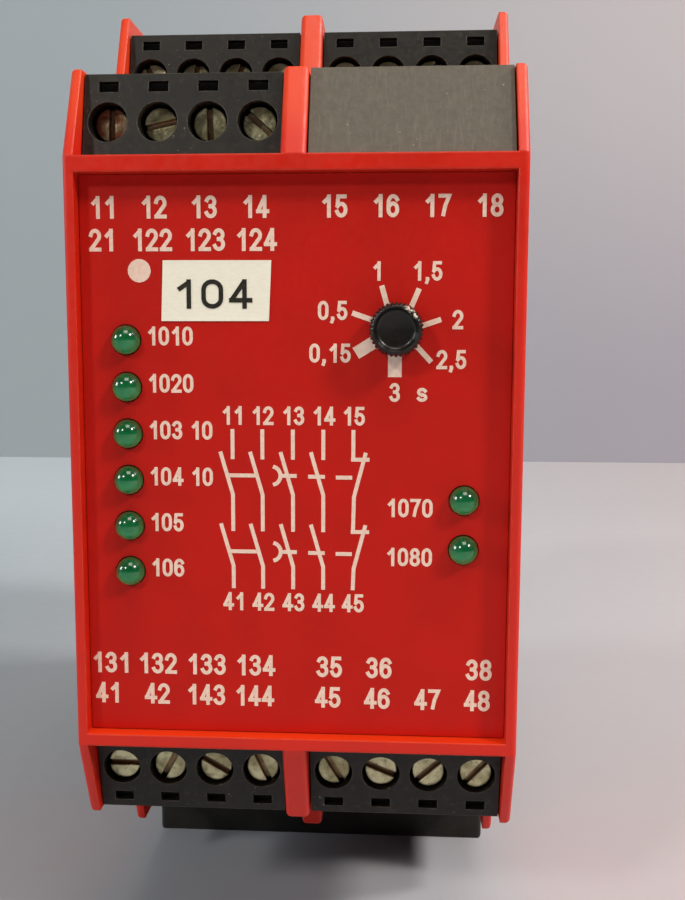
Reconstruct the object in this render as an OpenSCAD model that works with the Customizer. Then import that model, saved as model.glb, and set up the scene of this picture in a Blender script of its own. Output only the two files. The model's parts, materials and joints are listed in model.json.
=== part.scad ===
// Safety relay for a 35 mm mounting rail: a stepped housing with two tiers of
// plug-in screw terminals at each end, lamps, a time dial and a sprung rail latch.
// Millimetres. +X is to the right of the face, +Y runs from the face to the rail
// and +Z is up. The origin is the middle of the footprint, on the standing face.
// The pieces are drawn in a front frame, with y = 0 at the front rim and z = 0 at
// the middle of the face, and place() moves them to the part's own frame.

/* [Housing] */
// Depth from the front rim to the rail side
body_d = 114; // [112:1:130]
// Length of the front housing behind its rear tiers, up to its seam with the base
skirt_l = 5; // [4.6:0.1:9]
// Height of the face between the front terminal tiers
face_h = 59.4; // [56:0.1:75]
// Room above a rear plug, up to the top of the side walls
top_room = 1.9; // [1.8:0.1:4]
// Depth of one terminal tier
tier_d = 19.5; // [19.4:0.1:20.5]
// Lean of the tiers' front edges, in degrees from upright
tier_lean = 24; // [10:1:24]
// Thickness of the side walls
side_t = 1.1; // [1:0.1:1.6]
// Thickness of the rib between the two columns of terminals
rib_t = 2.5; // [2:0.1:4]
// Thickness of the floors, roofs and step walls
wall_t = 1.3; // [1.1:0.1:1.4]
// Rounding of the outer edges of the side walls
edge_r = 0.5; // [0.2:0.1:0.7]

/* [Face] */
// Height of the rim above the label
top_rim = 1.6; // [1.4:0.1:2.4]
// Height of the rim below the label
bottom_rim = 1.25; // [1.1:0.05:2]
// Depth of the recess that holds the label
recess_d = 1.8; // [1:0.1:2]
// Thickness of the label
label_t = 0.2; // [0.1:0.05:0.3]
// Thickness of the wall behind the label
face_t = 1.6; // [1.4:0.1:1.8]
// Width of the paper tag
tag_w = 10.9; // [8:0.1:14]
// Height of the paper tag
tag_h = 6; // [4:0.1:7]
// Thickness of the paper tag
tag_t = 0.1; // [0.05:0.01:0.15]

/* [Terminals] */
// Distance between terminals
pitch = 5; // [4.9:0.05:5.4]
// Height of a plug above the floor of its tier
plug_h = 8.6; // [8.4:0.1:8.8]
// Setback of a plug's face at the floor, behind the tier's front edge
plug_setback = 2.8; // [2:0.1:3]
// Lean of a plug's face, in degrees from upright
plug_lean = 13; // [8:1:14]
// Diameter of the screw wells
well_d = 4; // [3.4:0.1:4.2]
// Diameter of the terminal screw heads
head_d = 3.3; // [2.8:0.1:3.4]
// Height of a terminal screw above the floor of its tier
screw_z = 3.75; // [3.6:0.05:4]
// Diameter of the terminal screw shanks
shank_d = 2.4; // [2:0.1:2.5]
// Width of the test slots
test_w = 2; // [1.6:0.1:2.2]
// Height of the test slots
test_h = 1.05; // [0.8:0.05:1.2]
// Width of the wire entries
entry_w = 3.2; // [2.8:0.1:3.4]

/* [Dial and lamps] */
// Diameter of the time dial
dial_d = 5.3; // [4.8:0.1:6.5]
// Height of the time dial above the label
dial_h = 2.9; // [2:0.1:3.5]
// Diameter of the dial's spindle
spindle_d = 4; // [3:0.1:4.2]
// Distance of the dial from the middle line of the face
dial_x = 10; // [6:0.1:12]
// Height of the dial above the middle of the face
dial_z = 13; // [8:0.1:18]
// Grooves around the dial
knurls = 36; // [24:2:48]
// Diameter of the lamps
lamp_d = 2.9; // [2.8:0.1:3.2]
// Distance of the lamps from the outside of the housing
lamp_inset = 5.6; // [4.6:0.1:6]
// Distance between the lamps on the left
left_lamp_pitch = 4.7; // [4.6:0.02:5.2]
// Distance between the lamps on the right
right_lamp_pitch = 5; // [4.6:0.05:6]

/* [Base and rail] */
// Thickness of the rail's flanges
rail_t = 1; // [1:0.1:1.3]
// Distance from the rail's seat to the back of the base
seat_d = 4.8; // [4.6:0.1:5]
// Reach of the hooks over the rail's flanges
hook_reach = 1.6; // [1.2:0.1:2]
// Depth of the foot below the rear tiers
foot_h = 8.1; // [6:0.1:10]
// Distance from the front rim to the front of the foot
foot_y = 38; // [36:0.5:42]
// Distance across the two ribs that stand in the foot
foot_ribs_w = 24; // [20:1:30]
// Travel of the rail latch
latch_travel = 3.5; // [2.5:0.1:4]
// Width of the rail latch
latch_w = 13.6; // [11:0.1:16]
// Distance from the top of the base to where its back starts to slope
back_slope = 6; // [3:0.5:8]
// Cooling slots across the base
vent_count = 7; // [5:2:9]

/* [Boards] */
// Thickness of the circuit boards
board_t = 1.6; // [1.2:0.1:1.6]
// Length of a safety relay module
relay_l = 40; // [36:1:42]
// Thickness of a safety relay module
relay_t = 13; // [11:0.5:14]
// Height of a safety relay module above its board
relay_h = 24; // [18:0.5:25]
// Length of the transformer's core
iron_l = 25; // [22:1:28]
// Diameter of the reservoir capacitors
capacitor_d = 8; // [6:0.5:9]
// Height of the reservoir capacitors above their board
capacitor_h = 12; // [9:0.5:12]

/* [Hidden] */
$fn = 48;
// Terminals in each plug
ways = 4;
// Height of the rail that the base clips to
rail_h = 35;
// name, column (-1 left, 1 right), end (1 top, -1 bottom), tier (0 front, 1 rear),
// depth of the screw heads in their wells, and the turn of each screw's slot
PLUGS = [
  ["top_front_left", -1, 1, 0, 1.8, [88, 12, 92, -42]],
  ["top_rear_left", -1, 1, 1, 1.8, [-62, 80, 68, 25]],
  ["top_rear_right", 1, 1, 1, 1.8, [15, -38, 62, 5]],
  ["bottom_front_left", -1, -1, 0, 1.2, [0, 62, -30, -64]],
  ["bottom_front_right", 1, -1, 0, 1.2, [-58, -22, 42, 47]],
  ["bottom_rear_left", -1, -1, 1, 0.8, [35, -70, 10, 85]],
  ["bottom_rear_right", 1, -1, 1, 0.8, [-15, 50, -80, 20]]
];
// name, column and height, counted in places one relay module apart
RELAYS = [
  ["relay_module_1", -1, 1.4],
  ["relay_module_2", -1, 0.4],
  ["relay_module_3", 1, -0.7],
  ["relay_module_4", 1, -1.7]
];
LEFT_LAMPS = 6;
RIGHT_LAMPS = 2;
LAMPS = LEFT_LAMPS + RIGHT_LAMPS;

// Clearances, and the overlaps that join the shapes of one piece
slide_gap = 0.15;
floor_gap = 0.2;
fit_gap = 0.1;
loose_gap = 0.3;
join = 0.1;
root = 1;
over = 1;

// Main places of the housing
hood_d = 2 * tier_d + skirt_l;
front_tier_h = plug_h + loose_gap;
rear_tier_h = plug_h + top_room;
end_room = 2.575;
pocket_w = (ways - 1) * pitch + 2 * end_room;
body_w = 2 * (side_t + pocket_w) + rib_t;
inner_x = body_w / 2 - side_t;
core_w = body_w - side_t;
column_x = (rib_t + pocket_w) / 2;
z1 = face_h / 2;
z2 = z1 + front_tier_h;
z3 = z2 + rear_tier_h;
lean = tan(tier_lean);
face_in = recess_d + face_t;
label_y = recess_d - label_t;
dial_y = label_y - dial_h;
floor_z = z3 + foot_h;
mid_y = (body_d + dial_y) / 2;
roof_in = z3 - wall_t;

// The turns of a rounded edge, from its outer face to its flat
ROUND = [90, 60, 30, 0];

// Places of a plug, from the front of its tier's floor
plug_w = pocket_w - 2 * slide_gap;
plug_slope = tan(plug_lean);
plug_back = tier_d - loose_gap;
neck_l = 7.2;
neck_wall = 0.3;
neck_low = 1.7;
neck_high = plug_h - 2.3;
neck_end = plug_back + neck_l;
contact_w = 1.4;
neck_w = (ways - 1) * pitch + contact_w + 2 * (fit_gap + neck_wall);
contact_z = (neck_low + neck_high) / 2;
well_l = 8.2;
chamber_y = well_l + 1;
chamber_l = 5;
chamber_w = 4.2;
chamber_low = 1.2;
entry_l = 3.6;
entry_y = chamber_y + (chamber_l - entry_l) / 2;
entry_z = chamber_low + 5.2;
test_z = plug_h - 1.3;
test_l = 3;
grip_y = entry_y + entry_l + 1.7;
grip_w = 0.7;
grip_pitch = 1.6;
grip_d = 0.4;
grip_inset = 2;

// Screws and clamps
head_l = 1.7;
screw_end = chamber_y + 3.4;
slot_w = 0.6;
slot_l = 0.8;
cage_w = chamber_w - 2 * fit_gap;
cage_l = chamber_l - 2 * fit_gap;
cage_h = 4.6;
cage_wall = (cage_w - shank_d) / 2 - fit_gap;
contact_h = 2.4;
pin_w = 0.9;
pin_gap = 0.05;
contact_t = (contact_h - pin_w) / 2 - pin_gap;

// Sockets and their pins, in the same frame as their plugs
socket_l = 10;
socket_wall = 0.6;
socket_back = 1.5;
socket_low = neck_low - loose_gap - socket_wall;
socket_high = neck_high + loose_gap + socket_wall;
socket_w = neck_w + 2 * (loose_gap + socket_wall);
socket_y = tier_d + fit_gap;
window_gap = 0.05;
pin_front = plug_back + 2.8;
pin_step = 1.6;

// The cover of the unused place, with its two arms
cover_setback = 0.6;
cover_skin = 1.5;
arm_x = 6;
arm_w = 4;
arm_t = 1.1;
arm_low = 0.8;
arm_l = 8.8;
arm_root = plug_back - arm_l;
arm_end = tier_d + wall_t + 3;
barb_y = tier_d + wall_t + fit_gap;
barb_low = 0.15;
barb_end = arm_end - 1;

// Lamps and dial
left_lamp_z = 11.95;
right_lamp_z = -3.9;
lamp_top = 0.05;
lamp_flange_d = lamp_d + 0.8;
lamp_flange_t = 0.9;
lead_gap = 2.54;
lead_w = 0.5;
dial_bevel = 0.4;
dial_rim = 0.1;
dial_dish = 0.7;
dial_grip = 0.12;
notch_w = 0.5;

// Paper tag
tag_x = -7.85;
tag_z = 16.75;
tag_turn = 1;

// Boards, and the posts and ribs that hold them
board_out = inner_x - floor_gap;
board_in = board_out - board_t;
board_top = roof_in - 1.6;
board_step = 0.6;
front_board_y = face_in + 4;
front_board_w = 2 * inner_x - 2;
board_inset = 3;
front_board_h = face_h - 2 * board_inset;
board_front = front_board_y + board_t + loose_gap;
post_d = 3.2;
post_x = inner_x - 4;
post_z = z1 - 6;
pot_w = 9.6;
pot_front = face_in + loose_gap;
pot_back = front_board_y - loose_gap;
link_w = 2.4;
link_h = 20;
back_clear = 0.7;

// Snap between the front housing and the base
snap_x = 9;
snap_w = 6;
snap_l = 1.8;
rim_t = 1;
rim_y = 2 * tier_d + wall_t + loose_gap;
snap_y = (rim_y + hood_d) / 2;

// Base and rail
seat_y = body_d - seat_d;
hook_y = seat_y + rail_t + loose_gap;
rail_top = rail_h / 2 + floor_gap;
rail_low = rail_h / 2 + 1;
channel_y = hook_y - floor_gap;
foot_gap = 0.1;
back_wall = 2;
vent_w = 1.6;
vent_l = 30;
vent_pitch = 4.8;
vent_inset = 14;
vent_y = hood_d + vent_inset;
board_rib_inset = 8;
board_rib_y = hood_d + board_rib_inset;
board_rib_end = body_d - back_slope - board_rib_inset;

// Relay modules, transformer and capacitors
relay_y = seat_y - back_wall - back_clear - relay_l - loose_gap;
relay_pitch = relay_t + 1;
relay_base_h = 2;
relay_inset = 0.3;
relay_edge = 0.8;
iron_inset = 8.5;
iron_y = tier_d + iron_inset;
iron_w = 30;
stack_t = 15.6;
leg_w = iron_w / 6;
coil_over = 4.4;
coil_gap = 0.2;
capacitor_y = iron_y + capacitor_d;
capacitor_z = 20;

// Rail latch and its spring
flange_w = latch_w + 3.6;
flange_t = 1.3;
flange_top = root - z3 + floor_gap;
latch_back = body_d - floor_gap;
latch_top = rail_h / 2 - hook_reach;
latch_low = floor_z - latch_travel - 0.5;
latch_chamfer = 3;
eye_w = 6;
eye_h = 1.6;
eye_low = 1.2;
tail_l = 9.2;
pocket_low = latch_low - tail_l;
pocket_d = 2.6;
peg_w = 4.4;
peg_h = 2.5;
peg_low = pocket_low - loose_gap;
spring_l = 11.5;
pocket_high = peg_low - peg_h - spring_l;
spring_wire = 0.4;
spring_r = 0.9;
spring_turns = 8;
spring_steps = 10;
spring_sides = 5;

// Moves a piece from the front frame to the part's own frame
module place() {
  translate([0, -mid_y, floor_z]) children();
}

// A box between two corners
module block(low, high) {
  translate(low) cube(high - low);
}

// Extrudes an outline drawn in Y and Z along X, centred on X = 0
module across(width) {
  rotate([90, 0, 90]) translate([0, 0, -width / 2]) linear_extrude(width) children();
}

// A cylinder along +Y
module rod(d, l) {
  rotate([-90, 0, 0]) cylinder(d = d, h = l);
}

// Puts its children in both halves of the housing, left and right
module both_sides() {
  children();
  mirror([1, 0, 0]) children();
}

// Puts its children at both ends of the housing, top and bottom
module both_ends() {
  children();
  mirror([0, 0, 1]) children();
}

// Puts a piece in a tier: its frame's origin is the front of the tier's floor
module at_tier(p) {
  flip = p[2] < 0 ? 1 : 0;
  mirror([0, 0, flip])
    translate([p[1] * column_x, p[3] * tier_d, z1 + p[3] * front_tier_h]) children();
}

// Repeats its children at each terminal of a plug
module each_way() {
  for (i = [0:ways - 1]) translate([way_x(i), 0, 0]) children();
}

module at_lamp(i) {
  left = i <= LEFT_LAMPS;
  z = left ? left_lamp_z - (i - 1) * left_lamp_pitch : right_lamp_z - (i - 1 - LEFT_LAMPS) * right_lamp_pitch;
  translate([(left ? -1 : 1) * (body_w / 2 - lamp_inset), 0, z]) children();
}

module at_dial() {
  translate([dial_x, 0, dial_z]) children();
}

function way_x(i) = (i - (ways - 1) / 2) * pitch;
function reverse(list) = [for (i = [len(list) - 1:-1:0]) list[i]];
function flipped(list) = [for (p = list) [p[0], -p[1]]];

// How far a rounded edge is set in at turn a, and the X of each turn
function round_e(a) = edge_r * (1 - cos(a));
function edge_xs(x) = [for (a = ROUND) edge_r * (1 - sin(a)) - x];

// The front steps of a side wall's upper half, with its edge set in by e
function steps(e) =
  let (s = e / cos(tier_lean))
  [[e, z1 - e * tan(tier_lean / 2)],
   [(z2 - e - z1) * lean + s, z2 - e],
   [tier_d - e * lean + s, z2 - e],
   [tier_d + (z3 - e - z2) * lean + s, z3 - e]];

// The whole outline of a front housing's side wall
function hood_outline(e) =
  let (top = concat(steps(e), [[hood_d, z3 - e]])) concat(flipped(top), reverse(top));
HOOD_PARTS = [[0, 1, 2, 7, 8, 9], [2, 3, 4, 5, 6, 7]];

// The outline of the upper centre rib, which stands on the tiers' floors
function rib_outline(e) = concat(
  [[e, z1 - root],
   [tier_d + root, z1 - root],
   [tier_d + root, z2 - root],
   [2 * tier_d + root, z2 - root],
   [2 * tier_d + root, z3 - e]],
  reverse(steps(e)));
RIB_PARTS = [[0, 1, 2, 6, 7, 8], [2, 3, 4, 5, 6]];

// The outline of the base's side wall, which runs down into the foot
function base_outline(e) =
  let (k = e * (sqrt(2) - 1))
  [[foot_y + e, e - floor_z],
   [body_d - e, e - floor_z],
   [body_d - e, z3 - back_slope - k],
   [body_d - back_slope - k, z3 - e],
   [hood_d, z3 - e],
   [hood_d, -z3 - foot_gap],
   [foot_y + e, -z3 - foot_gap]];
BASE_PARTS = [[5, 6, 0, 1], [1, 2, 3, 4, 5]];

// A solid through matching outlines in Y and Z, one at each X in xs. Its two
// end faces are made of the convex parts of the outline.
module layered(xs, outlines, parts) {
  n = len(outlines[0]);
  last = len(xs) - 1;
  points = [for (k = [0:last]) for (p = outlines[k]) [xs[k], p[0], p[1]]];
  sides = [for (k = [0:last - 1]) for (i = [0:n - 1])
    [k * n + i, (k + 1) * n + i, (k + 1) * n + (i + 1) % n, k * n + (i + 1) % n]];
  far = [for (part = parts) [for (i = reverse(part)) last * n + i]];
  polyhedron(points, concat(sides, parts, far), convexity = 6);
}

// The flat part of the left side wall, inside its rounded edge
module side_plate() {
  translate([(edge_r - side_t - 2 * inner_x) / 2, 0, 0]) across(side_t - edge_r) children();
}

// ---- Front housing ----

module hood_core() {
  outside = [[hood_d, -z3], [2 * tier_d, -z3], [2 * tier_d, -z2], [tier_d, -z2], [tier_d, -z1], [0, -z1]];
  inside = [[hood_d + over, roof_in], [2 * tier_d + wall_t, roof_in], [2 * tier_d + wall_t, z2 - wall_t],
    [tier_d + wall_t, z2 - wall_t]];
  front = [[tier_d + wall_t, bottom_rim - z1], [face_in, bottom_rim - z1], [face_in, z1 - top_rim],
    [tier_d + wall_t, z1 - top_rim]];
  difference() {
    across(core_w) polygon(concat(outside, reverse(flipped(outside))));
    across(2 * inner_x) polygon(concat(flipped(inside), front, reverse(inside)));
    block([-inner_x, -over, bottom_rim - z1], [inner_x, recess_d, z1 - top_rim]);
  }
}

module hood_side() {
  side_plate() polygon(hood_outline(0));
  layered(edge_xs(body_w / 2), [for (a = ROUND) hood_outline(round_e(a))], HOOD_PARTS);
}

module hood_rib() {
  left = edge_xs(rib_t / 2);
  half = [for (a = ROUND) rib_outline(round_e(a))];
  layered(concat(left, -reverse(left)), concat(half, reverse(half)), RIB_PARTS);
}

// Opening in a step wall, behind each place for a plug
module socket_window() {
  block([-socket_w / 2 - window_gap, tier_d - over, socket_low - window_gap],
    [socket_w / 2 + window_gap, tier_d + wall_t + over, socket_high + window_gap]);
}

// A snap of the base, or its hole when it is drawn larger by gap
module snap(gap, high) {
  block([snap_x - snap_w / 2 - gap, snap_y - snap_l / 2 - gap, roof_in - rim_t],
    [snap_x + snap_w / 2 + gap, snap_y + snap_l / 2 + gap, high]);
}

module front_housing() {
  color("#d8331f")
  difference() {
    union() {
      hood_core();
      both_sides() hood_side();
      both_ends() hood_rib();
      // Posts that the front board rests on
      both_ends() both_sides()
        translate([post_x, face_in - join, post_z]) rod(post_d, front_board_y - face_in + join);
    }
    for (end = [-1, 1], col = [-1, 1], tier = [0, 1]) at_tier(["", col, end, tier]) socket_window();
    for (i = [1:LAMPS]) at_lamp(i) translate([0, -over, 0]) rod(lamp_d + 2 * fit_gap, face_in + 2 * over);
    at_dial() translate([0, -over, 0]) rod(spindle_d + 4 * fit_gap, face_in + 2 * over);
    both_ends() both_sides() snap(fit_gap, z3 + over);
  }
}

// ---- Face ----

module face_label() {
  color("#b21d14")
  difference() {
    block([fit_gap - inner_x, label_y, bottom_rim - z1 + fit_gap],
      [inner_x - fit_gap, recess_d, z1 - top_rim - fit_gap]);
    for (i = [1:LAMPS]) at_lamp(i) rod(lamp_d + 2 * fit_gap, face_in);
    at_dial() rod(spindle_d + 6 * fit_gap, face_in);
  }
}

module paper_tag() {
  color("#dfdbc9")
  translate([tag_x, label_y - tag_t, tag_z]) rotate([0, -tag_turn, 0])
    translate([-tag_w / 2, 0, -tag_h / 2]) cube([tag_w, tag_t, tag_h]);
}

// ---- Dial and lamps ----

module time_dial() {
  r = dial_d / 2;
  head_end = label_y - floor_gap;
  front_d = dial_d - 3 * dial_bevel;
  grip = [for (i = [0:2 * knurls - 1])
    (r - (i % 2) * dial_grip) * [cos(180 * i / knurls), sin(180 * i / knurls)]];
  color("#262220")
  at_dial()
  difference() {
    union() {
      translate([0, head_end, 0]) rotate([90, 0, 0])
        linear_extrude(head_end - dial_y - dial_bevel) polygon(grip);
      translate([0, dial_y, 0]) rotate([-90, 0, 0])
        cylinder(d1 = front_d, d2 = dial_d - dial_bevel, h = dial_bevel);
      translate([0, dial_y + dial_bevel, 0]) rod(spindle_d, pot_back - dial_y - dial_bevel);
    }
    translate([0, dial_y, 0]) rotate([-90, 0, 0])
      cylinder(d1 = front_d - 2 * dial_rim, d2 = dial_d / 2, h = dial_dish);
    block([-notch_w / 2, dial_y - over, -r - over], [notch_w / 2, dial_y + dial_bevel, -r / 2]);
  }
}

module dial_potentiometer() {
  color("#3a5f9a")
  at_dial()
  difference() {
    block([-pot_w / 2, pot_front, -pot_w / 2], [pot_w / 2, front_board_y, pot_w / 2]);
    translate([0, pot_front - over, 0]) rod(spindle_d + fit_gap, pot_back - pot_front + over + fit_gap);
  }
}

module lamp(i) {
  flange_y = face_in + fit_gap;
  lead_y = flange_y + lamp_flange_t;
  color("#1a6943")
  at_lamp(i) {
    translate([0, lamp_top + lamp_d / 2, 0]) sphere(d = lamp_d);
    translate([0, lamp_top + lamp_d / 2, 0]) rod(lamp_d, lead_y - lamp_top - lamp_d / 2);
    translate([0, flange_y, 0]) rod(lamp_flange_d, lamp_flange_t);
    both_sides()
      block([(lead_gap - lead_w) / 2, lead_y - join, -lead_w / 2],
        [(lead_gap + lead_w) / 2, front_board_y, lead_w / 2]);
  }
}

// ---- Terminals ----

// The side view of a plug's body or of the cover, from the tier's floor
function plug_side(setback, slope, low, high, back) =
  [[setback + low * slope, low], [back, low], [back, high], [setback + high * slope, high]];

module plug(p) {
  color("#3a3432")
  at_tier(p)
  difference() {
    union() {
      across(plug_w) polygon(plug_side(plug_setback, plug_slope, floor_gap, plug_h, plug_back));
      block([-neck_w / 2, plug_back - join, neck_low], [neck_w / 2, neck_end, neck_high]);
    }
    each_way() {
      translate([0, 0, screw_z]) rod(well_d, well_l);
      translate([0, 0, screw_z]) rod(shank_d + 2 * fit_gap, chamber_y + over);
      translate([0, 0, test_z])
        block([-test_w / 2, 0, -test_h / 2], [test_w / 2, plug_setback + test_l, test_h / 2]);
      block([-chamber_w / 2, chamber_y, chamber_low], [chamber_w / 2, chamber_y + chamber_l, entry_z]);
      block([-entry_w / 2, entry_y, entry_z - over], [entry_w / 2, entry_y + entry_l, plug_h + over]);
      block([-contact_w / 2 - fit_gap, chamber_y + chamber_l - over, contact_z - contact_h / 2 - fit_gap],
        [contact_w / 2 + fit_gap, neck_end + over, contact_z + contact_h / 2 + fit_gap]);
    }
    // Finger grooves across the top, behind the wire entries
    for (y = [grip_y, grip_y + grip_pitch])
      block([grip_inset - plug_w / 2, y, plug_h - grip_d],
        [plug_w / 2 - grip_inset, y + grip_w, plug_h + over]);
  }
}

module screws(p) {
  head_y = plug_setback + screw_z * plug_slope + p[4];
  color("#b9b39f")
  at_tier(p)
  for (i = [0:ways - 1])
    translate([way_x(i), 0, screw_z]) difference() {
      union() {
        translate([0, head_y, 0]) rod(head_d, head_l);
        translate([0, head_y + head_l - join, 0]) rod(shank_d, screw_end - head_y - head_l + join);
      }
      rotate([0, -p[2] * p[5][i], 0])
        block([-head_d, head_y - over, -slot_w / 2], [head_d, head_y + slot_l, slot_w / 2]);
    }
}

module clamps(p) {
  y0 = chamber_y + fit_gap;
  low = chamber_low + fit_gap;
  contact_low = contact_z - contact_h / 2;
  contact_high = contact_z + contact_h / 2;
  color("#c8c2b4")
  at_tier(p)
  each_way()
  difference() {
    union() {
      block([-cage_w / 2, y0, low], [cage_w / 2, y0 + cage_l, low + cage_h]);
      block([-contact_w / 2, y0 + cage_l - join, contact_low],
        [contact_w / 2, neck_end - fit_gap, contact_high]);
    }
    block([cage_wall - cage_w / 2, y0 + cage_wall, low - over],
      [cage_w / 2 - cage_wall, y0 + cage_l - cage_wall, low + cage_h + over]);
    translate([0, y0 - over, screw_z]) rod(shank_d + fit_gap, cage_wall + 2 * over);
    block([-contact_w, pin_front - 2 * loose_gap, contact_low + contact_t],
      [contact_w, neck_end + over, contact_high - contact_t]);
  }
}

module blank_cover() {
  skin = cover_skin;
  color("#726a61")
  at_tier(["", 1, 1, 0]) {
    difference() {
      across(plug_w) polygon(plug_side(cover_setback, lean, 0, front_tier_h, plug_back));
      across(plug_w - 2 * skin)
        polygon(plug_side(cover_setback + skin, lean, -over, front_tier_h - skin, plug_back + over));
    }
    // Arms that pass through the window and clip behind the step wall
    both_sides() {
      block([arm_x - arm_w / 2, arm_root, arm_low], [arm_x + arm_w / 2, arm_end, arm_low + arm_t]);
      block([arm_x - arm_w / 2, arm_root, arm_low],
        [plug_w / 2 - skin + join, arm_root + arm_t, arm_low + arm_t]);
      translate([arm_x, 0, 0]) across(arm_w)
        polygon([[barb_y, arm_low + join], [barb_y, barb_low], [barb_end, arm_low],
          [barb_end, arm_low + join]]);
    }
  }
}

module socket(p) {
  color("#2f2b2a")
  at_tier(p)
  difference() {
    block([-socket_w / 2, socket_y, socket_low], [socket_w / 2, socket_y + socket_l, socket_high]);
    block([socket_wall - socket_w / 2, socket_y - over, socket_low + socket_wall],
      [socket_w / 2 - socket_wall, socket_y + socket_l - socket_back, socket_high - socket_wall]);
    each_way()
      block([-pin_w / 2, socket_y, contact_z - pin_w / 2],
        [pin_w / 2, socket_y + socket_l + over, contact_z + pin_w / 2]);
  }
}

module socket_pins() {
  low = contact_z - pin_w / 2;
  color("#c9b458")
  for (p = PLUGS) at_tier(p)
    for (i = [0:ways - 1]) {
      // The farther a pin is from its board, the farther back it bends
      reach = p[1] < 0 ? i : ways - 1 - i;
      bend = socket_y + socket_l + over + reach * pin_step;
      wall_x = p[1] * (board_in - column_x);
      x = way_x(i);
      block([x - pin_w / 2, pin_front, low], [x + pin_w / 2, bend + pin_w, low + pin_w]);
      block([min(x, wall_x), bend, low], [max(x, wall_x), bend + pin_w, low + pin_w]);
    }
}

// ---- Base ----

module base_core() {
  mid_in = seat_y - back_wall;
  low_in = channel_y - back_wall;
  top_in = body_d - back_wall;
  slope_in = body_d - back_slope - wall_t;
  outside = [[hood_d, -z3], [body_d, -z3], [body_d, z3 - back_slope], [body_d - back_slope, z3],
    [hood_d, z3]];
  inside = [[hood_d - over, -roof_in], [low_in, -roof_in], [low_in, -rail_low - over],
    [mid_in, -rail_low - over], [mid_in, rail_low + over], [top_in, rail_low + over],
    [top_in, z3 - back_slope - wall_t], [slope_in, roof_in], [hood_d - over, roof_in]];
  difference() {
    across(core_w) polygon(outside);
    across(2 * inner_x) polygon(inside);
  }
}

module base_side() {
  side_plate() polygon(base_outline(0));
  layered(edge_xs(body_w / 2), [for (a = ROUND) base_outline(round_e(a))], BASE_PARTS);
}

// Rim that enters the front housing
module base_rim() {
  low = roof_in - fit_gap - rim_t;
  rim_end = hood_d + back_wall;
  across(2 * (inner_x - loose_gap)) polygon([[rim_y, low], [rim_end, low], [rim_end, roof_in + join],
    [hood_d, roof_in + join], [hood_d, roof_in - fit_gap], [rim_y, roof_in - fit_gap]]);
}

// The rail's seat and the fixed hook above it, cut right across the back
module rail_cut() {
  hook = rail_top - hook_reach;
  across(body_w + 2 * over) polygon([[seat_y, -rail_low], [body_d + over, -rail_low],
    [body_d + over, rail_top], [body_d, rail_top - hook_reach / 2], [body_d - over, hook], [hook_y, hook],
    [hook_y, rail_top], [seat_y, rail_top]]);
}

module latch_channel() {
  block([-flange_w / 2 - loose_gap, channel_y, -floor_z - over],
    [flange_w / 2 + loose_gap, hook_y + flange_t + floor_gap, over - rail_low]);
  block([-latch_w / 2 - loose_gap, channel_y, -floor_z - over],
    [latch_w / 2 + loose_gap, body_d + over, over - rail_low]);
}

// The foot: a cross plate under the front housing, a wall across the front, and
// two ribs beside the rail latch
module foot() {
  under = -z3 - foot_gap;
  wide = inner_x + join;
  block([-wide, foot_y, under - wall_t], [wide, hood_d + back_wall, under]);
  block([-wide, hood_d, under - wall_t], [wide, hood_d + back_wall, join - z3]);
  block([-wide, foot_y, -floor_z], [wide, foot_y + wall_t, under]);
  both_sides() {
    block([foot_ribs_w / 2 - wall_t, foot_y, -floor_z], [foot_ribs_w / 2, hood_d + join, under]);
    block([foot_ribs_w / 2 - wall_t, hood_d, -floor_z], [foot_ribs_w / 2, seat_y - back_wall, join - z3]);
  }
}

module base_housing() {
  color("#2b2828")
  difference() {
    union() {
      base_core();
      both_sides() base_side();
      foot();
      both_ends() {
        base_rim();
        both_sides() snap(0, z3 - loose_gap);
      }
      // Ribs that hold the side boards against the walls
      both_ends() both_sides()
        block([board_in - slide_gap - wall_t, board_rib_y, board_top - 2],
          [board_in - slide_gap, board_rib_end, roof_in + join]);
    }
    rail_cut();
    difference() {
      latch_channel();
      // Peg that the latch's spring stands on
      block([-peg_w / 2, channel_y - over, -peg_low],
        [peg_w / 2, hook_y + pocket_d - floor_gap, peg_h - peg_low]);
    }
    both_ends() for (i = [0:vent_count - 1])
      translate([(i - (vent_count - 1) / 2) * vent_pitch, vent_y, roof_in - over])
        translate([-vent_w / 2, 0, 0]) cube([vent_w, vent_l, wall_t + 2 * over]);
  }
}

module rail_latch() {
  color("#33302f")
  difference() {
    union() {
      across(latch_w) polygon([[hook_y, -latch_low], [latch_back, -latch_low],
        [latch_back, -latch_top - latch_chamfer], [hook_y + 2 * loose_gap, -latch_top],
        [hook_y, -latch_top]]);
      block([-flange_w / 2, hook_y, flange_top], [flange_w / 2, hook_y + flange_t, -rail_low - over]);
    }
    // Spring pocket
    block([-peg_w / 2 - loose_gap, hook_y - over, -pocket_low],
      [peg_w / 2 + loose_gap, hook_y + pocket_d, -pocket_high]);
    // Eye for a screwdriver
    block([-eye_w / 2, hook_y - over, eye_low - latch_low],
      [eye_w / 2, body_d + over, eye_low + eye_h - latch_low]);
  }
}

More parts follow.
